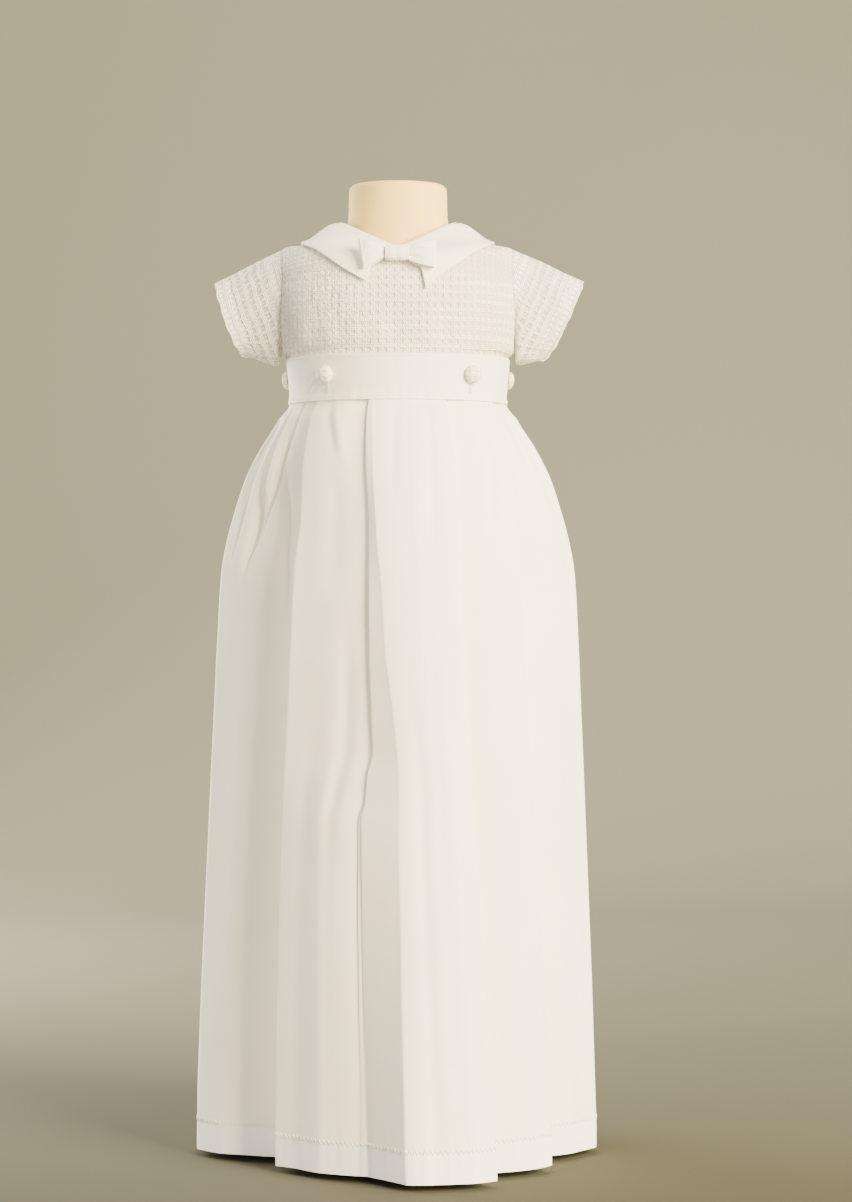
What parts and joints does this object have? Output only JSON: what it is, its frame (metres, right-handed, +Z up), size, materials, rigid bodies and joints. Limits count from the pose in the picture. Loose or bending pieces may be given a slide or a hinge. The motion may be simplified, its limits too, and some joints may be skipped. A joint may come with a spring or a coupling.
{
  "type": "christening gown on a dress form with a stand",
  "caption": "Baby's christening gown with short sleeves, pointed collar, flat bow and long pleated skirt, worn by a limbless dress form on a round-based stand.",
  "frame": {"origin": "on the floor, at the middle of the underside of the stand's round base", "axes": "+Z up through the pole and the neck; the gown's front faces -Y; +X is the right side as seen from the front"},
  "size_m": [0.2954, 0.2827, 0.715],
  "materials": {
    "plain_cotton": "plain white woven cotton",
    "woven_cotton": "white cotton woven in small open checks",
    "form_jersey": "cream jersey cover",
    "stand_paint": "satin"
  },
  "bodies": {
    "root": {"bodice_front": "woven_cotton", "bodice_back_left": "woven_cotton", "bodice_back_right": "woven_cotton", "sleeve_left": "woven_cotton", "sleeve_right": "woven_cotton", "collar_left": "plain_cotton", "collar_right": "plain_cotton", "bow_loop_left": "plain_cotton", "bow_loop_right": "plain_cotton", "bow_knot": "plain_cotton", "waistband": "plain_cotton", "skirt_front": "plain_cotton", "skirt_back": "plain_cotton", "waist_button_1": "woven_cotton", "waist_button_2": "woven_cotton", "waist_button_3": "woven_cotton", "waist_button_4": "woven_cotton", "waist_button_5": "woven_cotton", "waist_button_6": "woven_cotton", "back_button_1": "woven_cotton", "back_button_2": "woven_cotton", "back_button_3": "woven_cotton", "dress_form": "form_jersey", "stand_pole": "stand_paint", "stand_base": "stand_paint"}
  },
  "joints": []
}
